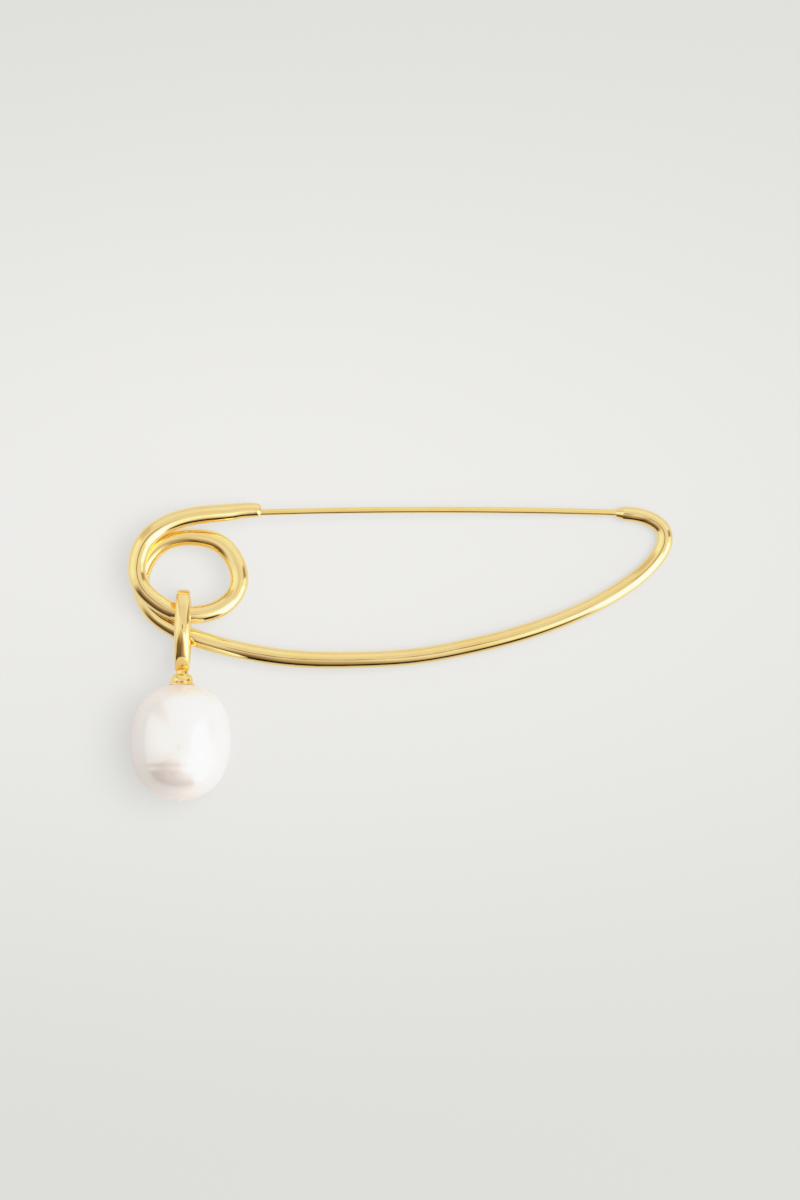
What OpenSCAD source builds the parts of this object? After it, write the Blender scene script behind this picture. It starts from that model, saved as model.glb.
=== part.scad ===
// Pearl brooch of one bent gold wire, lying on its back on a table.
// +X runs along the pin to the hook, +Y from the pearl to the pin, +Z off the table.

/* [Frame wire] */
// Diameter of the wire round the coil
wire_d = 2.3; // [1.8:0.05:2.3]
// Rounding of the upper arm's blunt end
arm_round = 0.6; // [0.2:0.1:0.7]
// Length of the cone on the hook's end
hook_cone = 1; // [0.4:0.1:1.5]
// Diameter of the cone's small end
hook_tip_d = 1.1; // [1.05:0.05:1.5]

/* [Pin stem] */
// Diameter of the pin stem
stem_d = 0.8; // [0.5:0.05:0.9]
// Diameter of the stem's point, inside the hook
point_d = 0.3; // [0.2:0.05:0.5]
// How far the middle of the stem bows away from the lower arm
stem_bow = 0.35; // [0.1:0.05:0.8]
// Depth of the stem's root in the upper arm
root_depth = 4; // [2:0.5:5]
// Depth of the stem's tip in the hook
tip_depth = 2.4; // [1:0.2:3]
// Gap all round the stem in its sockets
stem_gap = 0.05; // [0.02:0.01:0.08]

/* [Bail] */
// Distance from the pearl's middle to the loop's foot, on the middle of its band
loop_foot = 9.7; // [9.6:0.05:9.8]
// Length of the loop along the drop, on the middle of its band
loop_len = 9.4; // [9.3:0.05:9.5]
// Depth of the loop from front to back, on the middle of its band
loop_depth = 6.9; // [6.7:0.1:7.1]
// Width of the band where it is widest
loop_w = 2.1; // [1.9:0.05:2.2]
// Thickness of the band where it is thickest
loop_thick = 1.85; // [1.6:0.05:1.95]

/* [Cup] */
// Diameter of the collar between loop and cup
collar_d = 1.65; // [1.5:0.05:1.9]
// Diameter of the cup's dome
dome_d = 2.9; // [2.6:0.1:3.2]
// Height of the dome above the rim
dome_height = 1; // [0.9:0.05:1.1]
// Diameter of the cup's rim on the pearl
rim_d = 3.5; // [3.4:0.1:4]
// Height of the rim
rim_height = 0.4; // [0.3:0.05:0.5]
// Diameter of the peg in the pearl
peg_d = 1; // [0.8:0.1:1.2]
// Length of the peg below the pearl's top
peg_len = 7; // [4:0.5:8]
// Gap between the pearl and what holds it
pearl_gap = 0.05; // [0.03:0.01:0.1]

/* [Pearl] */
// Diameter of the pearl across the drop
pearl_d = 12.9; // [12.5:0.1:13.2]
// Length of the pearl along the drop
pearl_len = 14.9; // [14.6:0.1:15.1]
// Fullness of the pearl's shoulders at the cup, where 2 is an ellipse
top_full = 2.4; // [2:0.1:2.6]
// Fullness of the pearl's lower end
foot_full = 2.2; // [2:0.1:2.6]
// Diameter of the small nub at the pearl's lower end
nub_d = 1; // [0.6:0.1:1.4]

/* [Pose of the drop] */
// Place of the pearl's middle along the brooch
pearl_x = -28.4; // [-29:0.1:-28]
// Place of the pearl's middle across the brooch
pearl_y = -11.6; // [-11.8:0.1:-11.4]
// Turn of the drop seen from above
drop_turn = -1.2; // [-2:0.1:0]
// Slope of the drop from the pearl down to the loop
drop_slope = 8; // [7.5:0.1:8.5]

/* [Hidden] */
$fn = 64;
gold = "gold";
steel_gold = "khaki";
nacre = "seashell";

// Columns of the wire's route, a row for each section from the upper arm's end to the hook's end:
// place along the brooch, place across it, height of the wire's middle, share of wire_d.
route = [
    [-18.6, 18.3, 4.3, 0.80],
    [-19.5, 18.3, 4.3, 0.87],
    [-20.8, 18.2, 4.4, 0.90],
    [-22.3, 18.0, 4.5, 0.97],
    [-24.8, 17.8, 4.8, 1.00],
    [-27.9, 17.3, 5.1, 1.02],
    [-30.9, 16.1, 5.3, 1.03],
    [-33.1, 14.1, 5.4, 1.03],
    [-34.0, 11.3, 5.4, 1.02],
    [-33.6, 8.7, 5.4, 1.00],
    [-31.7, 6.6, 5.3, 0.99],
    [-28.9, 5.1, 5.1, 1.00],
    [-25.9, 4.9, 4.9, 1.01],
    [-23.0, 5.9, 4.6, 1.02],
    [-21.1, 8.1, 4.4, 1.01],
    [-21.1, 10.9, 4.2, 1.05],
    [-22.9, 13.6, 4.0, 1.07],
    [-25.7, 14.7, 3.8, 1.00],
    [-28.8, 14.7, 3.7, 0.98],
    [-31.3, 13.6, 3.5, 0.98],
    [-33.0, 11.4, 3.2, 0.98],
    [-33.6, 9.0, 3.0, 0.99],
    [-33.0, 6.6, 3.0, 1.00],
    [-31.6, 4.6, 3.1, 1.00],
    [-29.3, 3.0, 3.4, 1.00],
    [-26.6, 1.8, 3.4, 1.00],
    [-22.9, 0.7, 3.1, 0.99],
    [-17.6, -0.4, 2.9, 0.98],
    [-11.6, -1.0, 2.7, 0.96],
    [-5.0, -1.0, 2.5, 0.94],
    [1.6, -0.6, 2.2, 0.93],
    [8.0, 0.5, 2.0, 0.92],
    [14.2, 2.0, 1.8, 0.92],
    [20.0, 3.9, 1.5, 0.92],
    [25.2, 6.2, 1.3, 0.91],
    [29.5, 8.8, 1.1, 0.90],
    [32.3, 11.2, 1.05, 0.88],
    [34.0, 13.8, 1.05, 0.90],
    [33.7, 16.1, 1.05, 0.88],
    [31.7, 17.4, 1.1, 0.84],
    [29.9, 17.8, 1.2, 0.82],
    [28.8, 17.9, 1.2, 0.80]
];
arm_end_turns = [80, 55, 30];
wire_steps = 3;
wire_sides = 24;
curve_passes = 12;

// Mouths of the two sockets, where the stem enters the upper arm and the hook.
stem_root = [-18.2, 18, 4.3];
stem_tip = [28, 18, 1.2];
stem_sides = 16;
stem_steps = 12;
socket_run = 3;

// Columns of the loop's band: share of half the depth, share of the length, share of loop_w,
// share of loop_thick, and fullness of the section, where 2 is an ellipse and more is squarer.
// The rows run from the bottom up the front to the top, and the back mirrors them.
loop_bottom = [0, 0, 0.93, 0.65, 3.4];
loop_front = [
    [0.17, 0.01, 0.93, 0.63, 3.4],
    [0.32, 0.04, 0.93, 0.63, 3.2],
    [0.46, 0.09, 0.94, 0.68, 2.8],
    [0.59, 0.15, 0.95, 0.76, 2.5],
    [0.74, 0.25, 0.97, 0.84, 2.3],
    [0.87, 0.35, 0.99, 0.92, 2.2],
    [0.96, 0.45, 1.00, 0.97, 2.1],
    [1.00, 0.56, 1.00, 1.00, 2.1],
    [1.00, 0.69, 0.96, 0.95, 2.3],
    [0.97, 0.84, 0.90, 0.80, 2.8],
    [0.85, 0.94, 0.87, 0.70, 3.2],
    [0.60, 0.99, 0.85, 0.65, 3.4],
    [0.30, 1.00, 0.84, 0.65, 3.4]
];
loop_top = [0, 1, 0.83, 0.65, 3.4];
loop_steps = 3;
loop_sides = 20;

profile_steps = 14;
nub_height = 0.12;
nub_root = 0.2;
seat_fall = 0.1;
shoulder_height = 0.85;
shoulder_turns = [0, 15, 30, 45, 60, 75, 90];

up = [0, 0, 1];
side = [1, 0, 0];

function unit(v) = v / norm(v);

// The place of a section, without its other columns.
function place(s) = [s[0], s[1], s[2]];

// A point beyond an end of an open list continues the line of the last two. A closed list starts again.
function at(list, i, closed) =
    closed ? list[(i + len(list)) % len(list)]
    : i < 0 ? 2 * list[0] - list[1]
    : i >= len(list) ? 2 * list[len(list) - 1] - list[len(list) - 2]
    : list[i];

// Control points whose smooth curve runs through the given sections.
function controls(rows, passes, closed = false) =
    passes == 0 ? rows
    : let (c = controls(rows, passes - 1, closed))
        [
            for (i = [0 : len(rows) - 1])
                c[i] + rows[i] - (at(c, i - 1, closed) + 4 * c[i] + at(c, i + 1, closed)) / 6
        ];

function curve(c, i, t, closed = false) =
    (pow(1 - t, 3) * at(c, i - 1, closed)
    + (3 * pow(t, 3) - 6 * pow(t, 2) + 4) * at(c, i, closed)
    + (-3 * pow(t, 3) + 3 * pow(t, 2) + 3 * t + 1) * at(c, i + 1, closed)
    + pow(t, 3) * at(c, i + 2, closed)) / 6;

function heading(c, i, t, closed = false) =
    unit(place(
        -pow(1 - t, 2) * at(c, i - 1, closed)
        + (3 * pow(t, 2) - 4 * t) * at(c, i, closed)
        + (-3 * pow(t, 2) + 2 * t + 1) * at(c, i + 1, closed)
        + pow(t, 2) * at(c, i + 2, closed)));

// One ring of points across a tube.
function ring(middle, along, radius, sides, ref) =
    let (u = unit(cross(along, ref)), v = cross(u, along))
        [for (j = [0 : sides - 1]) middle + radius * (cos(360 * j / sides) * u + sin(360 * j / sides) * v)];

// A closed skin over rings, with a flat face at each end, or with its ends joined.
module skin(rings, closed = false) {
    sides = len(rings[0]);
    count = len(rings);
    walls = [
        for (i = [0 : closed ? count - 1 : count - 2], j = [0 : sides - 1])
            let (a = i * sides, b = (i + 1) % count * sides, k = (j + 1) % sides)
                each [[a + j, a + k, b + j], [a + k, b + k, b + j]]
    ];
    first = [for (j = [sides - 1 : -1 : 0]) j];
    last = [for (j = [0 : sides - 1]) (count - 1) * sides + j];
    polyhedron(points = [for (r = rings) each r], faces = closed ? walls : concat(walls, [first, last]));
}

// Turns +Z to run along a direction.
module aim(from, along) {
    translate(from)
        rotate([0, acos(along[2]), atan2(along[1], along[0])])
            children();
}

wire_controls = controls(route, curve_passes);
wire_last = len(route) - 1;
arm_radius = wire_d * route[0][3] / 2;
hook_radius = wire_d * route[wire_last][3] / 2;
arm_heading = heading(wire_controls, 0, 0);
hook_heading = heading(wire_controls, wire_last - 1, 1);

arm_end_rings = [
    for (turn = arm_end_turns)
        ring(
            place(route[0]) - arm_round * sin(turn) * arm_heading,
            arm_heading, arm_radius - arm_round * (1 - cos(turn)), wire_sides, up)
];
wire_rings = [
    for (i = [0 : wire_last - 1], k = [0 : wire_steps - 1])
        let (t = k / wire_steps, s = curve(wire_controls, i, t))
            ring(place(s), heading(wire_controls, i, t), wire_d * s[3] / 2, wire_sides, up)
];
hook_end_rings = [
    ring(place(route[wire_last]), hook_heading, hook_radius, wire_sides, up),
    ring(place(route[wire_last]) + hook_cone * hook_heading, hook_heading, hook_tip_d / 2, wire_sides, up)
];

// The stem's middle line: a straight chord with a shallow bow, run on straight into both sockets.
stem_chord = stem_tip - stem_root;
stem_length = norm(stem_chord);
stem_along = unit(stem_chord);
stem_across = unit(cross(up, stem_along));
function stem_point(share) = stem_root + share * stem_chord + 4 * stem_bow * share * (1 - share) * stem_across;
root_heading = unit(stem_along + 4 * stem_bow / stem_length * stem_across);
tip_heading = unit(stem_along - 4 * stem_bow / stem_length * stem_across);
socket_d = stem_d + 2 * stem_gap;

stem_rings = concat(
    [ring(stem_root - root_depth * root_heading, root_heading, stem_d / 2, stem_sides, up)],
    [
        for (k = [0 : stem_steps])
            let (share = k / stem_steps)
                ring(
                    stem_point(share),
                    unit(stem_along + 4 * stem_bow * (1 - 2 * share) / stem_length * stem_across),
                    stem_d / 2, stem_sides, up)
    ],
    [ring(stem_tip + tip_depth * tip_heading, tip_heading, point_d / 2, stem_sides, up)]);

// A signed power, for sections between an ellipse and a rectangle.
function bend(value, full) = sign(value) * pow(abs(value), 2 / full);

// A row of the loop as a section: place on the drop, width, thickness and fullness.
// The front faces -Y of the drop.
function loop_section(row, face) = [
    0,
    face * row[0] * loop_depth / 2,
    loop_foot + row[1] * loop_len,
    row[2] * loop_w,
    row[3] * loop_thick,
    row[4]
];

loop_controls = controls(
    concat(
        [loop_section(loop_bottom, 1)],
        [for (row = loop_front) loop_section(row, -1)],
        [loop_section(loop_top, 1)],
        [for (k = [len(loop_front) - 1 : -1 : 0]) loop_section(loop_front[k], 1)]),
    curve_passes, closed = true);

// One ring of points across the loop's band.
function band(i, t) =
    let (
        section = curve(loop_controls, i, t, closed = true),
        through = cross(heading(loop_controls, i, t, closed = true), side)
    )
        [
            for (j = [0 : loop_sides - 1])
                let (a = 360 * j / loop_sides)
                    place(section)
                        + section[4] / 2 * bend(cos(a), section[5]) * through
                        + section[3] / 2 * bend(sin(a), section[5]) * side
        ];

// Half outline of the pearl, from the middle of its foot to the edge of the drilled hole in its top.
pearl_half = pearl_len / 2;
function swell(turn, full) =
    [pearl_d / 2 * pow(cos(turn), 2 / full), pearl_half * pow(sin(turn), 2 / full)];
foot_outline = [
    for (k = [profile_steps - 1 : -1 : 1])
        let (p = swell(90 * k / profile_steps, foot_full))
            [p[0], -p[1]]
];
top_outline = [for (k = [0 : profile_steps - 1]) swell(90 * k / profile_steps, top_full)];
pearl_low = max([
    for (p = concat(foot_outline, top_outline)) p[0] * cos(drop_slope) + abs(p[1]) * sin(drop_slope)
]);
pearl_middle = [pearl_x, pearl_y, pearl_low];
hole_d = peg_d + 2 * pearl_gap;
hole_foot = pearl_half - peg_len - pearl_gap;

// Heights of the cup on the drop's own axis, which starts at the pearl's middle and runs up to the loop.
// The seat falls away with the pearl's top from the hole out to the rim.
seat = pearl_half + pearl_gap;
rim_top = seat - seat_fall + rim_height;
dome_top = rim_top + dome_height;

module on_drop() {
    translate(pearl_middle)
        rotate([0, 0, drop_turn])
            rotate([-90 - drop_slope, 0, 0])
                children();
}

module frame_wire() {
    color(gold)
        difference() {
            skin(concat(arm_end_rings, wire_rings, hook_end_rings));
            aim(stem_root - (root_depth + stem_gap) * root_heading, root_heading)
                cylinder(h = root_depth + socket_run, d = socket_d);
            aim(stem_tip - socket_run * tip_heading, tip_heading)
                cylinder(h = socket_run + tip_depth + stem_gap, d = socket_d);
        }
}

module pin_stem() {
    color(steel_gold)
        skin(stem_rings);
}

module bail_loop() {
    skin(
        [for (i = [0 : len(loop_controls) - 1], k = [0 : loop_steps - 1]) band(i, k / loop_steps)],
        closed = true);
}

module cup() {
    rotate_extrude()
        polygon(concat(
            [
                [0, pearl_half - peg_len],
                [peg_d / 2, pearl_half - peg_len],
                [peg_d / 2, seat],
                [rim_d / 2, seat - seat_fall],
                [dome_d / 2, rim_top]
            ],
            [
                for (turn = shoulder_turns)
                    [
                        (collar_d + (dome_d - collar_d) * cos(turn)) / 2,
                        dome_top - shoulder_height * (1 - sin(turn))
                    ]
            ],
            [[collar_d / 2, loop_foot], [0, loop_foot]]));
}

module pearl_bail() {
    color(gold)
        on_drop() {
            bail_loop();
            cup();
        }
}

// The half-drilled pearl, with a small nub where its lower end was trimmed.
module pearl() {
    color(nacre)
        on_drop() {
            rotate_extrude()
                polygon(concat(
                    [[0, -pearl_half]],
                    foot_outline,
                    top_outline,
                    [[hole_d / 2, pearl_half], [hole_d / 2, hole_foot], [0, hole_foot]]));
            translate([0, 0, -pearl_half - nub_height])
                cylinder(h = nub_height + nub_root, d = nub_d);
        }
}

frame_wire();
pin_stem();
pearl_bail();
pearl();
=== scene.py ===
import math
import bmesh
import bpy
import numpy as np
from mathutils import Matrix, Vector


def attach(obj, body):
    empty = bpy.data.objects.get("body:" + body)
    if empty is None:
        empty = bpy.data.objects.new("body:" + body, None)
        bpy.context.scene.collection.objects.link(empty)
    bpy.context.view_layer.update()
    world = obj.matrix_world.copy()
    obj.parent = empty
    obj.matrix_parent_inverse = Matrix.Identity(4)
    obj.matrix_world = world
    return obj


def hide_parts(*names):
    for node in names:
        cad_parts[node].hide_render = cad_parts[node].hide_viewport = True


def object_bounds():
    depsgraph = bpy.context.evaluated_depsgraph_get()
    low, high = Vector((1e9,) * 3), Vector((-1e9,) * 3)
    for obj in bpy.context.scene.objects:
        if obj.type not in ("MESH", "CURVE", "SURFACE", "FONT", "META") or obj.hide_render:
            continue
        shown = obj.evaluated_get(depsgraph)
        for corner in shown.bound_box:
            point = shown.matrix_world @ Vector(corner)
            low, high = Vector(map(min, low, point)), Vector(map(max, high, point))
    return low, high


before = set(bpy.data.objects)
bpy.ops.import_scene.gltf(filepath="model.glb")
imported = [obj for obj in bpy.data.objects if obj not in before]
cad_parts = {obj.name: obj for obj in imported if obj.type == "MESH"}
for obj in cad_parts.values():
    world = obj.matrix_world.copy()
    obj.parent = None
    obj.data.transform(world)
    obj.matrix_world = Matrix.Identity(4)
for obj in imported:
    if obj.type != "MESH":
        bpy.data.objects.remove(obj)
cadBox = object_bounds()
mm = 0.001  # the tables below are in millimetres
up = np.array([0.0, 0.0, 1.0])
print("frame loaded:", ", ".join(sorted(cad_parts)))


# mesh tools

def unit(v):
    return v / np.linalg.norm(v)


def turnsRound(sides):
    return np.linspace(0, 2 * math.pi, sides, endpoint=False)


def ring(middle, along, radius, sides):
    u = unit(np.cross(along, up))
    v = np.cross(u, along)
    turns = turnsRound(sides)
    return middle + radius * (np.outer(np.cos(turns), u) + np.outer(np.sin(turns), v))


def ringsAlong(start, along, steps, sides):
    # steps are pairs: way from the start, radius
    return [ring(start + way * along, along, radius, sides) for way, radius in steps]


def skinFaces(count, sides, looped):
    faces = []
    for i in range(count if looped else count - 1):
        a, b = i * sides, ((i + 1) % count) * sides
        for j in range(sides):
            k = (j + 1) % sides
            faces.append((a + j, a + k, b + k, b + j))
    if not looped:
        faces.append(tuple(range(sides - 1, -1, -1)))
        faces.append(tuple((count - 1) * sides + j for j in range(sides)))
    return faces


def lengthsAlong(rings):
    middles = np.array([r.mean(axis=0) for r in rings])
    steps = np.linalg.norm(np.diff(middles, axis=0), axis=1)
    return np.concatenate([[0], np.cumsum(steps)])


def skinMesh(name, rings, looped=False):
    # a tube over rings, with a map that runs along it and round it in millimetres
    sides, count = len(rings[0]), len(rings)
    points = np.concatenate(rings) * mm
    mesh = bpy.data.meshes.new(name)
    mesh.from_pydata(points.tolist(), [], skinFaces(count, sides, looped))
    runs = lengthsAlong(rings)
    wholeRun = runs[-1] + np.linalg.norm(rings[0][0] - rings[-1][0])
    halfway = rings[count // 2]
    girth = np.linalg.norm(halfway - np.roll(halfway, 1, axis=0), axis=1).sum()
    layer = mesh.uv_layers.new(name="along")
    for face in mesh.polygons:
        corners = list(face.vertices)
        wraps = len(corners) == 4 and {c % sides for c in corners} == {0, sides - 1}
        closes = looped and {c // sides for c in corners} == {0, count - 1}
        for spot, c in zip(face.loop_indices, corners):
            row, column = divmod(c, sides)
            if wraps and column == 0:
                column = sides
            run = wholeRun if closes and row == 0 else runs[row]
            layer.data[spot].uv = (run, girth * column / sides)
    mesh.update()
    return mesh


def latheRings(outline, sides):
    # outline is (radius, height) pairs from bottom to top
    turns = turnsRound(sides)
    return [
        np.column_stack([r * np.cos(turns), r * np.sin(turns), np.full(sides, z)])
        for r, z in outline
    ]


def fillet(corner, before, after, radius, steps=6):
    # rounds one corner of an outline, over less than half of its two sides
    corner, before, after = (np.array(p, float) for p in (corner, before, after))
    a, b = unit(before - corner), unit(after - corner)
    half = math.acos(np.clip(a @ b, -1, 1)) / 2
    longest = 0.49 * min(np.linalg.norm(before - corner), np.linalg.norm(after - corner))
    reach = min(radius / math.tan(half), longest)
    radius = reach * math.tan(half)
    hub = corner + unit(a + b) * radius / math.sin(half)
    first, last = corner + a * reach, corner + b * reach
    start = math.atan2(*(first - hub)[::-1])
    sweep = math.atan2(*(last - hub)[::-1]) - start
    sweep = (sweep + math.pi) % (2 * math.pi) - math.pi
    turns = [start + sweep * k / steps for k in range(steps + 1)]
    return [tuple(hub + radius * np.array([math.cos(t), math.sin(t)])) for t in turns]


def roundOutline(points):
    # points are (radius, height, round of the corner)
    spots = [(r, z) for r, z, corner in points]
    out = []
    for i, (r, z, corner) in enumerate(points):
        if corner:
            out += fillet(spots[i], spots[i - 1], spots[i + 1], corner)
        else:
            out.append((r, z))
    return out


def shadeSmooth(mesh, sharpAngle):
    mesh.polygons.foreach_set("use_smooth", [True] * len(mesh.polygons))
    mesh.set_sharp_from_angle(angle=math.radians(sharpAngle))
    mesh.update()


def addObject(name, data):
    made = bpy.data.objects.new(name, data)
    bpy.context.scene.collection.objects.link(made)
    return made


def addPiece(name, mesh, material, node):
    piece = addObject(name, mesh)
    mesh.materials.clear()
    mesh.materials.append(material)
    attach(piece, "root")
    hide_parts(node)
    return piece


# smooth line through a table of sections

def extended(rows, closed):
    if closed:
        return np.vstack([rows[-1:], rows, rows[:1]])
    return np.vstack([2 * rows[0] - rows[1], rows, 2 * rows[-1] - rows[-2]])


def controlsThrough(rows, closed, passes=12):
    found = rows.copy()
    for _ in range(passes):
        around = extended(found, closed)
        found = found + rows - (around[:-2] + 4 * around[1:-1] + around[2:]) / 6
    return found


def curveSpot(t, a, b, c, d):
    # section and heading at share t of the way from b to c
    section = (
        (1 - t) ** 3 * a
        + (3 * t ** 3 - 6 * t ** 2 + 4) * b
        + (-3 * t ** 3 + 3 * t ** 2 + 3 * t + 1) * c
        + t ** 3 * d
    ) / 6
    heading = (
        -(1 - t) ** 2 * a
        + (3 * t ** 2 - 4 * t) * b
        + (-3 * t ** 2 + 2 * t + 1) * c
        + t ** 2 * d
    )
    return section, unit(heading[:3])


def curveSections(rows, steps, closed=False):
    found = controlsThrough(rows, closed)
    around = extended(found, closed)
    if closed:
        around = np.vstack([around, found[1]])
    spans = len(rows) if closed else len(rows) - 1
    spots = []
    for i in range(spans):
        ends = not closed and i == spans - 1
        spots += [curveSpot(k / steps, *around[i:i + 4]) for k in range(steps + ends)]
    sections, headings = zip(*spots)
    return np.array(sections), np.array(headings)


# material tools

def newMaterial(name):
    material = bpy.data.materials.new(name)
    material.use_nodes = True
    tree = material.node_tree
    return material, tree, tree.nodes["Principled BSDF"]


def addNode(tree, kind, **settings):
    made = tree.nodes.new(kind)
    for key, value in settings.items():
        if key in made.inputs:
            made.inputs[key].default_value = value
        else:
            setattr(made, key, value)
    return made


def noiseOver(tree, place, scale, detail):
    noise = addNode(tree, "ShaderNodeTexNoise", Scale=scale, Detail=detail)
    tree.links.new(place, noise.inputs["Vector"])
    return noise.outputs["Fac"]


def stretched(tree, place, scale):
    stretch = addNode(tree, "ShaderNodeMapping", Scale=scale)
    tree.links.new(place, stretch.inputs["Vector"])
    return stretch.outputs["Vector"]


def mapRange(tree, value, ends, out=(0, 1), easing="LINEAR"):
    span = addNode(tree, "ShaderNodeMapRange", interpolation_type=easing)
    for name, number in zip(("From Min", "From Max", "To Min", "To Max"), (*ends, *out)):
        span.inputs[name].default_value = number
    tree.links.new(value, span.inputs["Value"])
    return span.outputs["Result"]


def mixColors(tree, share, first, second):
    mix = addNode(tree, "ShaderNodeMix", data_type="RGBA", A=first, B=second)
    tree.links.new(share, mix.inputs["Factor"])
    return mix.outputs["Result"]


def bumpOf(tree, height, distance, under=None):
    bump = addNode(tree, "ShaderNodeBump", Strength=1.0, Distance=distance)
    tree.links.new(height, bump.inputs["Height"])
    if under is not None:
        tree.links.new(under, bump.inputs["Normal"])
    return bump.outputs["Normal"]


goldLook = {
    "color": (1.0, 0.785, 0.36, 1),
    "deeperColor": (0.99, 0.745, 0.30, 1),
    # each noise has its scale and its detail
    "clouds": (210.0, 3.0),
    "cloudSpan": (0.4, 0.7),
    "wear": (1500.0, 4.0),
    "wearSpan": (0.35, 0.75),
    "roughness": (0.025, 0.06),
    "polish": (1.0, 3.0),
    "polishStretch": (0.35, 9.0, 1),  # polishing lines run along the wire
    "polishHeight": 0.0000035,
    "wobble": (160.0, 1.0),
    "wobbleHeight": 0.00004,  # slow unevenness of the hand-polished wire
}
bailLook = {
    **goldLook,
    "color": (1.0, 0.77, 0.34, 1),
    "deeperColor": (0.99, 0.73, 0.28, 1),
    "wobbleHeight": 0.00002,
}
stemLook = {
    **goldLook,
    "color": (1.0, 0.765, 0.297, 1),
    "deeperColor": (0.99, 0.725, 0.25, 1),
    "roughness": (0.10, 0.18),
    "wobbleHeight": 0.00001,
    "polishHeight": 0.000006,
    "polishStretch": (0.2, 12.0, 1),
}


def makeGold(name, look):
    material, tree, shader = newMaterial(name)
    links = tree.links
    shader.inputs["Metallic"].default_value = 1
    place = addNode(tree, "ShaderNodeTexCoord").outputs

    clouds = noiseOver(tree, place["Object"], *look["clouds"])
    share = mapRange(tree, clouds, look["cloudSpan"])
    tone = mixColors(tree, share, look["color"], look["deeperColor"])
    links.new(tone, shader.inputs["Base Color"])

    wear = noiseOver(tree, place["Object"], *look["wear"])
    gloss = mapRange(tree, wear, look["wearSpan"], look["roughness"])
    links.new(gloss, shader.inputs["Roughness"])

    wobble = noiseOver(tree, place["Object"], *look["wobble"])
    slow = bumpOf(tree, wobble, look["wobbleHeight"])
    lines = stretched(tree, place["UV"], look["polishStretch"])
    polish = noiseOver(tree, lines, *look["polish"])
    fine = bumpOf(tree, polish, look["polishHeight"], under=slow)
    links.new(fine, shader.inputs["Normal"])
    return material


nacreLook = {
    "color": (1.0, 0.93, 0.88, 1),
    "pinkColor": (0.99, 0.885, 0.835, 1),
    "drift": (170.0, 2.0),  # the tone drifts over the pearl in wide soft patches
    "driftSpan": (0.42, 0.75),
    "driftMost": 0.6,
    "gloss": (0.955, 1.0, 1.0, 1),  # the cool sheen over the warm body
    "ior": 3.4,
    "clouds": (260.0, 1.0),  # nacre is a little rougher in soft clouds
    "cloudSpan": (0.3, 0.7),
    "roughness": (0.18, 0.23),
    "lines": (1.0, 1.0),  # faint growth lines run round the pearl
    "lineStretch": (90, 620, 90),
    "lineHeight": 0.00002,
    "sheen": 0.6,
    "sheenRoughness": 0.45,
    "sheenTint": (1.0, 0.78, 0.75, 1),
}


def makeNacre(name, look):
    material, tree, shader = newMaterial(name)
    links = tree.links
    shader.inputs["IOR"].default_value = look["ior"]
    shader.inputs["Specular Tint"].default_value = look["gloss"]
    shader.inputs["Sheen Weight"].default_value = look["sheen"]
    shader.inputs["Sheen Roughness"].default_value = look["sheenRoughness"]
    shader.inputs["Sheen Tint"].default_value = look["sheenTint"]
    place = addNode(tree, "ShaderNodeTexCoord").outputs

    drift = noiseOver(tree, place["Object"], *look["drift"])
    patch = mapRange(tree, drift, look["driftSpan"], (0, look["driftMost"]))
    tone = mixColors(tree, patch, look["color"], look["pinkColor"])
    links.new(tone, shader.inputs["Base Color"])

    clouds = noiseOver(tree, place["Object"], *look["clouds"])
    gloss = mapRange(tree, clouds, look["cloudSpan"], look["roughness"])
    links.new(gloss, shader.inputs["Roughness"])

    lines = stretched(tree, place["Object"], look["lineStretch"])
    growth = noiseOver(tree, lines, *look["lines"])
    links.new(bumpOf(tree, growth, look["lineHeight"]), shader.inputs["Normal"])
    return material


goldWire = makeGold("polishedGold", goldLook)
goldBail = makeGold("polishedGoldBail", bailLook)
goldStem = makeGold("drawnGoldStem", stemLook)
nacre = makeNacre("pearlNacre", nacreLook)
print("materials made")


# the slim stem's line, which the wire's sockets follow too

stem = {
    "diameter": 0.8,
    "bow": 0.35,
    "root": (-18.2, 18.0, 4.3),
    "tip": (28.0, 18.0, 1.2),
    "rootDepth": 4.0,
    "tipDepth": 2.4,
    "gap": 0.05,
    "buttLength": 0.1,  # the root's end narrows over this length
    "buttShare": 0.8,
    "point": 0.3,
    "pointShares": (0.5, 0.9, 1.0),
    "sides": 32,
    "steps": 60,
    "sharpAngle": 35,
    "drillSides": 48,
    "drillSteps": 5,
    "drillOut": 3.0,  # how far the drills stand out of their sockets
}
stemRoot, stemTip = np.array(stem["root"]), np.array(stem["tip"])
stemChord = stemTip - stemRoot
stemLength = np.linalg.norm(stemChord)
stemAlong = stemChord / stemLength
stemAcross = unit(np.cross(up, stemAlong))


def stemPoint(share):
    return stemRoot + share * stemChord + 4 * stem["bow"] * share * (1 - share) * stemAcross


def stemHeading(share):
    return unit(stemAlong + 4 * stem["bow"] * (1 - 2 * share) / stemLength * stemAcross)


rootWay, tipWay = stemHeading(0), stemHeading(1)


# the thick wire

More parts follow.
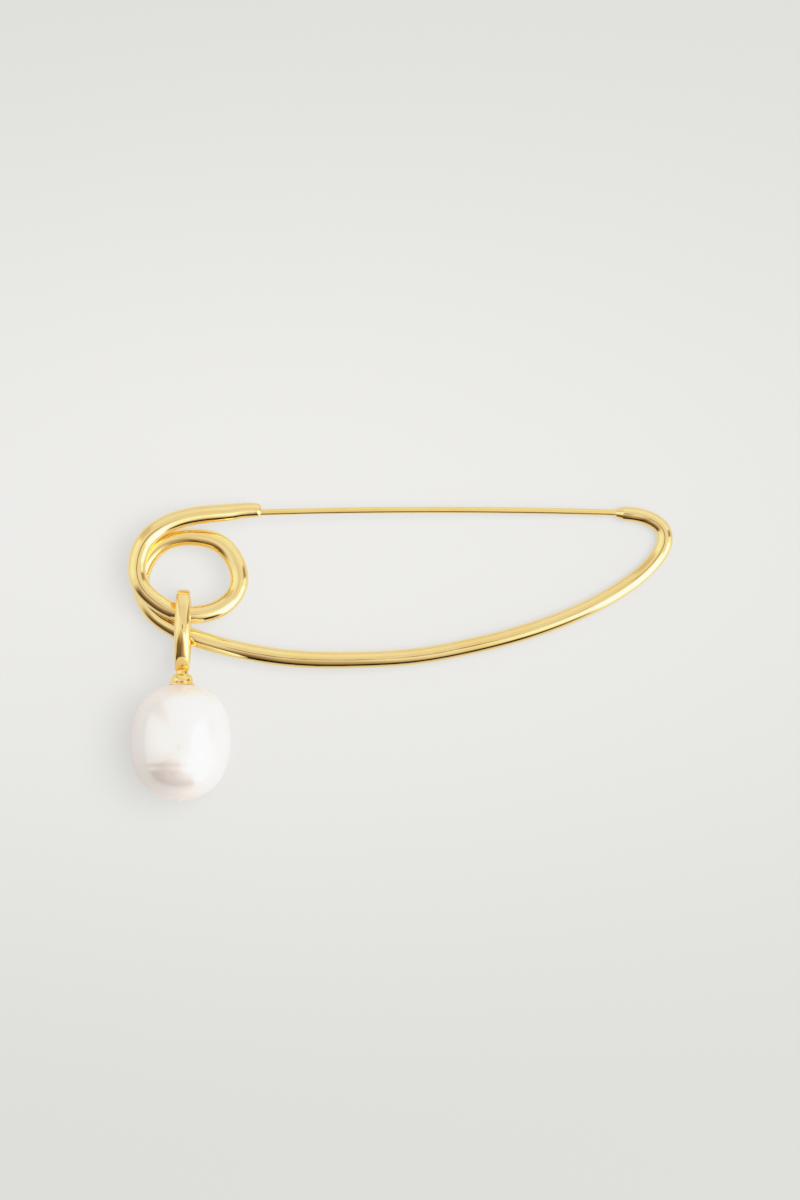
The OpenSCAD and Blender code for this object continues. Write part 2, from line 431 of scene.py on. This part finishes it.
wire = {
    "diameter": 2.3,
    "sides": 64,
    "steps": 12,
    "armRound": 0.6,
    "armTurns": (86, 78, 70, 62, 54, 46, 38, 30, 22, 14, 7),  # degrees round the arm's end
    "hookCone": 1.0,
    "hookTip": 1.1,
    "hookShares": (0.08, 0.25, 0.5, 0.75, 0.92),
    "hookRim": 0.06,  # small round on the cone's rim
    "hookRimOut": 0.02,
    "sliver": 0.0005,  # the drills leave edges shorter than this
    "sharpAngle": 32,
    # place along, place across, height of the middle, share of the diameter,
    # from the upper arm's end to the hook's end
    "route": [
        (-18.6, 18.3, 4.3, 0.80), (-19.5, 18.3, 4.3, 0.87), (-20.8, 18.2, 4.4, 0.90),
        (-22.3, 18.0, 4.5, 0.97), (-24.8, 17.8, 4.8, 1.00), (-27.9, 17.3, 5.1, 1.02),
        (-30.9, 16.1, 5.3, 1.03), (-33.1, 14.1, 5.4, 1.03), (-34.0, 11.3, 5.4, 1.02),
        (-33.6, 8.7, 5.4, 1.00), (-31.7, 6.6, 5.3, 0.99), (-28.9, 5.1, 5.1, 1.00),
        (-25.9, 4.9, 4.9, 1.01), (-23.0, 5.9, 4.6, 1.02), (-21.1, 8.1, 4.4, 1.01),
        (-21.1, 10.9, 4.2, 1.05), (-22.9, 13.6, 4.0, 1.07), (-25.7, 14.7, 3.8, 1.00),
        (-28.8, 14.7, 3.7, 0.98), (-31.3, 13.6, 3.5, 0.98), (-33.0, 11.4, 3.2, 0.98),
        (-33.6, 9.0, 3.0, 0.99), (-33.0, 6.6, 3.0, 1.00), (-31.6, 4.6, 3.1, 1.00),
        (-29.3, 3.0, 3.4, 1.00), (-26.6, 1.8, 3.4, 1.00), (-22.9, 0.7, 3.1, 0.99),
        (-17.6, -0.4, 2.9, 0.98), (-11.6, -1.0, 2.7, 0.96), (-5.0, -1.0, 2.5, 0.94),
        (1.6, -0.6, 2.2, 0.93), (8.0, 0.5, 2.0, 0.92), (14.2, 2.0, 1.8, 0.92),
        (20.0, 3.9, 1.5, 0.92), (25.2, 6.2, 1.3, 0.91), (29.5, 8.8, 1.1, 0.90),
        (32.3, 11.2, 1.05, 0.88), (34.0, 13.8, 1.05, 0.90), (33.7, 16.1, 1.05, 0.88),
        (31.7, 17.4, 1.1, 0.84), (29.9, 17.8, 1.2, 0.82), (28.8, 17.9, 1.2, 0.80),
    ],
}


def makeDrill(name, start, along, length):
    # a round rod that drills one of the wire's two sockets
    radius = stem["diameter"] / 2 + stem["gap"]
    steps = [(way, radius) for way in np.linspace(0, length, stem["drillSteps"])]
    return addObject(name, skinMesh(name, ringsAlong(start, along, steps, stem["drillSides"])))


def drilledMesh(name, blank, drills):
    for drill in drills:
        cut = blank.modifiers.new(drill.name, "BOOLEAN")
        cut.operation = "DIFFERENCE"
        cut.solver = "EXACT"
        cut.object = drill
    graph = bpy.context.evaluated_depsgraph_get()
    drilled = bpy.data.meshes.new_from_object(blank.evaluated_get(graph))
    drilled.name = name
    for spare in [blank] + drills:
        spareMesh = spare.data
        bpy.data.objects.remove(spare, do_unlink=True)
        bpy.data.meshes.remove(spareMesh)
    return drilled


def dropSlivers(mesh, size):
    clean = bmesh.new()
    clean.from_mesh(mesh)
    bmesh.ops.remove_doubles(clean, verts=clean.verts, dist=size * mm)
    bmesh.ops.dissolve_degenerate(clean, edges=clean.edges, dist=size * mm)
    bmesh.ops.triangulate(clean, faces=[f for f in clean.faces if len(f.verts) > 4])
    clean.to_mesh(mesh)
    clean.free()


def makeFrameWire():
    sides, rim, cone = wire["sides"], wire["hookRim"], wire["hookCone"]
    sections, headings = curveSections(np.array(wire["route"]), wire["steps"])
    radii = sections[:, 3] * wire["diameter"] / 2
    body = [ring(s[:3], h, r, sides) for s, h, r in zip(sections, headings, radii)]
    armSteps = [
        (-wire["armRound"] * math.sin(turn), radii[0] - wire["armRound"] * (1 - math.cos(turn)))
        for turn in np.radians(wire["armTurns"])
    ]
    tip = wire["hookTip"] / 2
    hookSteps = [
        (share * cone, radii[-1] + (tip - radii[-1]) * share)
        for share in wire["hookShares"]
    ]
    hookSteps += [(cone - rim, tip + wire["hookRimOut"]), (cone, tip - rim)]
    armEnd = ringsAlong(sections[0][:3], headings[0], armSteps, sides)
    hookEnd = ringsAlong(sections[-1][:3], headings[-1], hookSteps, sides)
    blank = addObject("drillBlank", skinMesh("frameWire", armEnd + body + hookEnd))

    out = stem["drillOut"]
    rootEnd = stemRoot - (stem["rootDepth"] + stem["gap"]) * rootWay
    drills = [
        makeDrill("rootDrill", rootEnd, rootWay, stem["rootDepth"] + out),
        makeDrill("tipDrill", stemTip - out * tipWay, tipWay, out + stem["tipDepth"] + stem["gap"]),
    ]
    drilled = drilledMesh("frameWire", blank, drills)
    dropSlivers(drilled, wire["sliver"])
    shadeSmooth(drilled, wire["sharpAngle"])
    return addPiece("frameWire", drilled, goldWire, "frame_wire")


frameWire = makeFrameWire()
print("frame wire:", len(frameWire.data.polygons), "faces")


# the slim stem

def makePinStem():
    sides, radius, depth = stem["sides"], stem["diameter"] / 2, stem["rootDepth"]
    buttSteps = [
        (-depth, radius * stem["buttShare"]),
        (stem["buttLength"] - depth, radius),
        (-depth / 2, radius),
    ]
    tipSteps = [
        (share * stem["tipDepth"], radius + (stem["point"] / 2 - radius) * share)
        for share in stem["pointShares"]
    ]
    shares = [k / stem["steps"] for k in range(stem["steps"] + 1)]
    rings = ringsAlong(stemRoot, rootWay, buttSteps, sides)
    rings += [ring(stemPoint(share), stemHeading(share), radius, sides) for share in shares]
    rings += ringsAlong(stemTip, tipWay, tipSteps, sides)
    mesh = skinMesh("pinStem", rings)
    shadeSmooth(mesh, stem["sharpAngle"])
    return addPiece("pinStem", mesh, goldStem, "pin_stem")


pinStem = makePinStem()
print("pin stem:", len(pinStem.data.polygons), "faces")


# the pearl, its cup and its loop share one axis, +Z here from the pearl's middle up to the loop

drop = {
    "middle": (-28.4, -11.6),
    "turn": -1.2,
    "slope": 8.0,
}
pearl = {
    "diameter": 12.9,
    "length": 14.9,
    "topFull": 2.4,
    "footFull": 2.2,
    "nub": 1.0,
    "nubHeight": 0.12,
    # share of the nub's radius and height above its foot
    "nubShape": [(0.04, 0.0), (0.6, 0.01), (0.9, 0.05), (1.0, 0.12)],
    "hole": 1.1,
    "holeDepth": 7.05,
    "holeRim": 0.01,  # the rim lies at most this far below the pearl's full length
    "clear": 1.05,  # the outline starts and stops this share outside the nub and the hole
    "axis": 0.02,
    "sides": 128,
    "steps": 56,
    "sharpAngle": 50,
    # height, width and depth of each faint ring, as a pearl grows
    "growthRings": [(-3.8, 0.26, 0.036), (-5.0, 0.32, 0.018), (-2.4, 0.5, 0.012)],
    # waves round the pearl, twist per millimetre, start and depth of each slow dent
    "dents": [(2, 0.6, 0.8, 0.03), (3, -0.5, 2.1, 0.02)],
    "calmTop": 1.2,  # no rings or dents nearer to the axis than this
    "calmReach": 1.5,
}


def swell(turn, full):
    return (
        pearl["diameter"] / 2 * max(math.cos(turn), 0) ** (2 / full),
        pearl["length"] / 2 * max(math.sin(turn), 0) ** (2 / full),
    )


def pearlOutline():
    turns = [math.pi / 2 * k / pearl["steps"] for k in range(pearl["steps"] + 1)]
    foot = [(r, -z) for r, z in (swell(t, pearl["footFull"]) for t in reversed(turns[1:]))]
    top = [swell(t, pearl["topFull"]) for t in turns]
    return foot, top


footLine, topLine = pearlOutline()
slope = math.radians(drop["slope"])
pearlLow = max(r * math.cos(slope) + abs(z) * math.sin(slope) for r, z in footLine + topLine)
pearlMiddle = np.array([*drop["middle"], pearlLow])
onDrop = (
    Matrix.Translation(Vector(pearlMiddle * mm))
    @ Matrix.Rotation(math.radians(drop["turn"]), 4, "Z")
    @ Matrix.Rotation(math.radians(-90 - drop["slope"]), 4, "X")
)


def sunkBy(turn, z):
    # never less than nothing, so the pearl stays inside its own outline
    rings = sum(
        depth * math.exp(-((z - height) / width) ** 2)
        for height, width, depth in pearl["growthRings"]
    )
    dents = sum(
        depth * (1 + math.sin(waves * turn + twist * z + start)) / 2
        for waves, twist, start, depth in pearl["dents"]
    )
    return rings + dents


def makePearl():
    half, nub, hole = pearl["length"] / 2, pearl["nub"] / 2, pearl["hole"] / 2
    nubFoot = -half - pearl["nubHeight"]
    holeFoot = half - pearl["holeDepth"]
    foot = [p for p in footLine if p[0] > nub * pearl["clear"]]
    top = [p for p in topLine[1:] if p[0] > hole * pearl["clear"]]
    outline = [(nub * share, nubFoot + rise) for share, rise in pearl["nubShape"]]
    outline = [p for p in outline if p[1] < foot[0][1]] + foot + top
    rim = max(top[-1][1], half - pearl["holeRim"])
    outline += [(hole, rim), (hole, holeFoot), (pearl["axis"], holeFoot)]
    mesh = skinMesh("pearlBody", latheRings(outline, pearl["sides"]))
    for v in mesh.vertices:
        x, y, z = (c / mm for c in v.co)
        r = math.hypot(x, y)
        if r < pearl["calmTop"]:
            continue
        calm = min(1, (r - pearl["calmTop"]) / pearl["calmReach"])
        shrink = 1 - sunkBy(math.atan2(y, x), z) * calm / r
        v.co.x *= shrink
        v.co.y *= shrink
    mesh.transform(onDrop)
    shadeSmooth(mesh, pearl["sharpAngle"])
    return addPiece("pearlBody", mesh, nacre, "pearl")


pearlBody = makePearl()
print("pearl:", len(pearlBody.data.polygons), "faces")


# the loop and the cup with its peg

bail = {
    "foot": 9.7,
    "length": 9.4,
    "depth": 6.9,
    "width": 2.1,
    "thick": 1.85,
    "sides": 64,
    "steps": 12,
    "sharpAngle": 40,
    # shares of half the depth, the length, the width and the thickness, and the fullness
    "bottom": (0.0, 0.0, 0.93, 0.65, 3.4),
    "front": [
        (0.17, 0.01, 0.93, 0.63, 3.4), (0.32, 0.04, 0.93, 0.63, 3.2), (0.46, 0.09, 0.94, 0.68, 2.8),
        (0.59, 0.15, 0.95, 0.76, 2.5), (0.74, 0.25, 0.97, 0.84, 2.3), (0.87, 0.35, 0.99, 0.92, 2.2),
        (0.96, 0.45, 1.00, 0.97, 2.1), (1.00, 0.56, 1.00, 1.00, 2.1), (1.00, 0.69, 0.96, 0.95, 2.3),
        (0.97, 0.84, 0.90, 0.80, 2.8), (0.85, 0.94, 0.87, 0.70, 3.2), (0.60, 0.99, 0.85, 0.65, 3.4),
        (0.30, 1.00, 0.84, 0.65, 3.4),
    ],
    "top": (0.0, 1.0, 0.83, 0.65, 3.4),
}
cup = {
    "pegRadius": 0.5,
    "pegDepth": 7.0,
    "pegRound": 0.15,
    "rimRadius": 1.75,
    "rimHeight": 0.4,
    "rimRound": 0.05,
    "rimSide": 0.03,  # the rim's side ends this far below the seat
    "lipDrop": 0.17,  # the lip follows the pearl down, so no dark slit shows under it
    "lipRound": 0.03,
    "seatDrop": 0.1,
    "domeRadius": 1.45,
    "domeHeight": 1.0,
    "domeRound": 0.1,
    "shoulderHeight": 0.85,
    "shoulderStep": 6,  # degrees
    "collarRadius": 0.825,
    "gap": 0.05,
    "axis": 0.01,
    "sides": 96,
}


def loopSection(row, face):
    # the front lies towards -Y of the drop
    deep, tall, width, thick, full = row
    return (
        0.0, face * deep * bail["depth"] / 2, bail["foot"] + tall * bail["length"],
        width * bail["width"], thick * bail["thick"], full,
    )


def bandRing(section, along):
    across = np.array([1.0, 0.0, 0.0])
    through = np.cross(along, across)
    turns = turnsRound(bail["sides"])
    c, s, e = np.cos(turns), np.sin(turns), 2 / section[5]
    deep = np.sign(c) * np.abs(c) ** e * section[4] / 2
    wide = np.sign(s) * np.abs(s) ** e * section[3] / 2
    return section[:3] + np.outer(deep, through) + np.outer(wide, across)


def makeLoop():
    rows = [loopSection(bail["bottom"], 1)] + [loopSection(r, -1) for r in bail["front"]]
    rows += [loopSection(bail["top"], 1)] + [loopSection(r, 1) for r in reversed(bail["front"])]
    sections, headings = curveSections(np.array(rows), bail["steps"], closed=True)
    return skinMesh("bailLoop", [bandRing(s, h) for s, h in zip(sections, headings)], looped=True)


def makeCup():
    half = pearl["length"] / 2
    seat = half + cup["gap"]
    pegFoot = half - cup["pegDepth"]
    rimTop = seat - cup["seatDrop"] + cup["rimHeight"]
    domeTop = rimTop + cup["domeHeight"]
    collar = cup["collarRadius"]
    shoulder = [
        (
            collar + (cup["domeRadius"] - collar) * math.cos(turn),
            domeTop - cup["shoulderHeight"] * (1 - math.sin(turn)),
            0,
        )
        for turn in np.radians(np.arange(0, 91, cup["shoulderStep"]))
    ]
    points = [
        (cup["axis"], pegFoot, 0),
        (cup["pegRadius"], pegFoot, cup["pegRound"]),
        (cup["pegRadius"], seat, 0),
        (cup["rimRadius"], seat - cup["lipDrop"], cup["lipRound"]),
        (cup["rimRadius"], seat - cup["rimSide"], cup["rimRound"]),
        (cup["domeRadius"], rimTop, cup["domeRound"]),
        *shoulder,
        (collar, bail["foot"], 0),
        (cup["axis"], bail["foot"], 0),
    ]
    return skinMesh("bailCup", latheRings(roundOutline(points), cup["sides"]))


def makeBail():
    joined = bpy.data.meshes.new("pearlBail")
    both = bmesh.new()
    for part in (makeLoop(), makeCup()):
        both.from_mesh(part)
        bpy.data.meshes.remove(part)
    both.to_mesh(joined)
    both.free()
    joined.transform(onDrop)
    shadeSmooth(joined, bail["sharpAngle"])
    return addPiece("pearlBail", joined, goldBail, "pearl_bail")


pearlBail = makeBail()
print("bail:", len(pearlBail.data.polygons), "faces")


# floor

floorLook = {
    "half": 3.0,
    "place": (-0.024, 0.016),  # metres, where the painted pool of light on the paper is brightest
    "color": (0.08, 0.08, 0.078, 1),
    "grain": (9.0, 2.0),
    "grainDepth": 0.015,
    # the paper glows though it is no lamp: painted light that keeps the shadows on it faint,
    # brightest at the middle and dimmer towards the edges like a pool of light
    "paintedGlow": (0.603, 0.600, 0.587, 1),
    "paintedEdgeGlow": (0.484, 0.487, 0.467, 1),
    "paintedGlowReach": 0.085,
    "paintedGlowWide": (0.5, 1.0, 1.0),
    "paintedGlowFull": 1.05,
    "paintedGlowLow": -0.7,  # seen at a low angle the paper turns glossy and its painted glow fades
    "roughness": 0.4,
    "ior": 1.7,
}


def makePaper(look):
    material, tree, shader = newMaterial("palePaper")
    material.cycles.emission_sampling = "NONE"
    links = tree.links
    shader.inputs["Roughness"].default_value = look["roughness"]
    shader.inputs["IOR"].default_value = look["ior"]
    place = addNode(tree, "ShaderNodeTexCoord").outputs

    grain = noiseOver(tree, place["Object"], *look["grain"])
    *color, alpha = look["color"]
    darker, lighter = (
        [c * (1 + side * look["grainDepth"]) for c in color] + [alpha]
        for side in (-1, 1)
    )
    tone = mixColors(tree, grain, darker, lighter)
    links.new(tone, shader.inputs["Base Color"])

    # painted light: the paper glows as a pool of light, brightest at its middle and dimmer towards
    # the edges and at low angles
    away = addNode(tree, "ShaderNodeVectorMath", operation="LENGTH")
    links.new(stretched(tree, place["Object"], look["paintedGlowWide"]), away.inputs[0])
    fade = mapRange(tree, away.outputs["Value"], (0, look["paintedGlowReach"]), easing="SMOOTHSTEP")
    paintedGlow = mixColors(tree, fade, look["paintedGlow"], look["paintedEdgeGlow"])
    links.new(paintedGlow, shader.inputs["Emission Color"])

    low = addNode(tree, "ShaderNodeFresnel", IOR=look["ior"])
    left = addNode(tree, "ShaderNodeMath", operation="MULTIPLY_ADD")
    links.new(low.outputs["Fac"], left.inputs[0])
    left.inputs[1].default_value = look["paintedGlowLow"]
    left.inputs[2].default_value = look["paintedGlowFull"]
    links.new(left.outputs[0], shader.inputs["Emission Strength"])
    return material


def makeFloor():
    mesh = bpy.data.meshes.new("paleFloor")
    h = floorLook["half"]
    mesh.from_pydata([(-h, -h, 0), (h, -h, 0), (h, h, 0), (-h, h, 0)], [], [(0, 1, 2, 3)])
    mesh.materials.append(makePaper(floorLook))
    floor = addObject("paleFloor", mesh)
    floor.location = (*floorLook["place"], cadBox[0][2])
    return floor


floorPaper = makeFloor()
print("floor laid")


# studio: a pale room, darker in a few places, with wide bright windows low on the right

room = {
    "brightness": 0.87,
    "seenColor": (0.80, 0.80, 0.788, 1),
    "dusk": (1.0, 1.25, 1.55),  # powers per colour: the dark parts of the room turn warm
    # each patch, in degrees: the turns from +X that it covers and their soft edge, its heights
    # above the horizon and their soft edge, then the gain that multiplies the room
    "dark": [
        ((-140, -106), 20, (-90, 27), 66, 0.18),
        ((-140, -84), 12, (-90, 8), 14, 0.4),
        ((-100, -84), 14, (-90, 40), 60, 0.5),
        ((-98, -69), 9, (-90, 15), 25, 0.05),
        ((-69, -60), 7, (-90, 12), 26, 0.33),
        ((8, 17), 8, (-10, 28), 16, 0.42),
        ((130, 142), 10, (-10, 45), 20, 0.78),
        ((30, 110), 30, (58, 74), 14, 0.92),
        ((-180, 180), 1, (85.5, 91), 3.5, 0.4),
    ],
    "bright": [
        ((-54, -36), 9, (0, 58), 14, 2.9),
        ((-36, -13), 8, (-6, 33), 14, 2.7),
        ((-13, 1), 7, (-5, 22), 12, 1.5),
        ((-64, -54), 7, (32, 66), 12, 1.3),
        ((151, 184), 14, (8, 50), 20, 1.22),
        ((24, 76), 20, (8, 36), 18, 1.09),
    ],
}


def makeRoom():
    world = bpy.data.worlds.new("paleRoom")
    bpy.context.scene.world = world
    world.use_nodes = True
    tree = world.node_tree
    tree.nodes.clear()
    links = tree.links

    def calc(operation, *terms):
        made = addNode(tree, "ShaderNodeMath", operation=operation)
        for term, socket in zip(terms, made.inputs):
            if isinstance(term, (int, float)):
                socket.default_value = term
            else:
                links.new(term, socket)
        return made.outputs[0]

    def window(value, ends, edge):
        # 1 between the ends, 0 beyond the soft edge; half a turn either way is the same place
        middle, half = (ends[0] + ends[1]) / 2, (ends[1] - ends[0]) / 2
        away = calc("ABSOLUTE", calc("WRAP", calc("SUBTRACT", value, middle), 180, -180))
        return mapRange(tree, away, (half, half + edge), (1, 0), "SMOOTHSTEP")

    place = addNode(tree, "ShaderNodeTexCoord")
    parts = addNode(tree, "ShaderNodeSeparateXYZ")
    links.new(place.outputs["Generated"], parts.inputs["Vector"])
    x, y, z = parts.outputs
    turn = calc("MULTIPLY", calc("ARCTAN2", y, x), math.degrees(1))
    height = calc("MULTIPLY", calc("ARCSINE", z), math.degrees(1))

    def cover(turns, turnEdge, heights, heightEdge):
        return calc("MULTIPLY", window(turn, turns, turnEdge), window(height, heights, heightEdge))

    dim, lit = 1, 0
    for *patch, gain in room["dark"]:
        dim = calc("MULTIPLY", dim, calc("ADD", calc("MULTIPLY", cover(*patch), gain - 1), 1))
    for *patch, gain in room["bright"]:
        lit = calc("MAXIMUM", lit, calc("MULTIPLY", cover(*patch), room["brightness"] * (gain - 1)))
    color = addNode(tree, "ShaderNodeCombineColor")
    for power, socket in zip(room["dusk"], color.inputs):
        base = calc("MULTIPLY", calc("POWER", dim, power), room["brightness"])
        links.new(calc("ADD", base, lit), socket)

    shown = addNode(tree, "ShaderNodeLightPath")
    pick = addNode(tree, "ShaderNodeMix", data_type="RGBA", B=room["seenColor"])
    links.new(shown.outputs["Is Camera Ray"], pick.inputs["Factor"])
    links.new(color.outputs["Color"], pick.inputs["A"])
    back = addNode(tree, "ShaderNodeBackground")
    links.new(pick.outputs["Result"], back.inputs["Color"])
    out = addNode(tree, "ShaderNodeOutputWorld")
    links.new(back.outputs["Background"], out.inputs["Surface"])


makeRoom()


# two soft lamps on the right, each for one piece only

paperLamp = {  # for the shadows on the paper
    "name": "paperLamp",
    "turn": 12,
    "height": 68,
    "away": 1.6,
    "wide": 1.1,
    "watts": 53.0,
    "gloss": False,
}
pearlLamp = {  # for the pearl's gloss
    "name": "pearlLamp",
    "turn": 2,
    "height": 42,
    "away": 0.6,
    "wide": 0.5,
    "watts": 1.2,
    "gloss": True,
}


def makeLamp(lamp, piece):
    data = bpy.data.lights.new(lamp["name"], "AREA")
    data.shape = "DISK"
    data.size = lamp["wide"]
    data.energy = lamp["watts"]
    made = addObject(lamp["name"], data)
    turn, height = math.radians(lamp["turn"]), math.radians(lamp["height"])
    low = math.cos(height)
    towards = Vector((math.cos(turn) * low, math.sin(turn) * low, math.sin(height)))
    made.location = towards * lamp["away"]
    made.rotation_euler = towards.to_track_quat("Z", "Y").to_euler()
    made.visible_glossy = lamp["gloss"]
    only = bpy.data.collections.new(lamp["name"] + "Lights")
    only.objects.link(piece)
    made.light_linking.receiver_collection = only


makeLamp(paperLamp, floorPaper)
makeLamp(pearlLamp, pearlBody)
print("room lit")


# camera straight above, as in the photograph

cameraPlace = {
    "x": -0.129,
    "y": 6.71,
    "height": 900.0,
    "focus": 4.0,  # height at which the scale is set
    "seenLength": 154.84,  # millimetres from the picture's top to its bottom
    "sensor": 36,
}


def makeCamera():
    data = bpy.data.cameras.new("overheadCamera")
    away = cameraPlace["height"] - cameraPlace["focus"]
    data.sensor_width = cameraPlace["sensor"]
    data.lens = cameraPlace["sensor"] * away / cameraPlace["seenLength"]
    camera = addObject("overheadCamera", data)
    camera.location = [cameraPlace[way] * mm for way in ("x", "y", "height")]
    bpy.context.scene.camera = camera


rollOff = {
    "bends": [(0.88, 0.88), (1.2, 0.945)],
    "end": (3.0, 1.0),
    "most": (4, 1),
}


def softenBrights():
    # the brightest parts roll off softly in place of clipping
    shownAs = bpy.context.scene.view_settings
    shownAs.view_transform = "Standard"
    shownAs.use_curve_mapping = True
    mapping = shownAs.curve_mapping
    mapping.use_clip = False
    mapping.clip_max_x, mapping.clip_max_y = rollOff["most"]
    points = mapping.curves[3].points  # the curve that all colours share
    points[1].location = rollOff["end"]
    for spot in rollOff["bends"]:
        points.new(*spot)
    for point in points:
        point.handle_type = "VECTOR"
    mapping.update()


makeCamera()
softenBrights()
print("camera set")
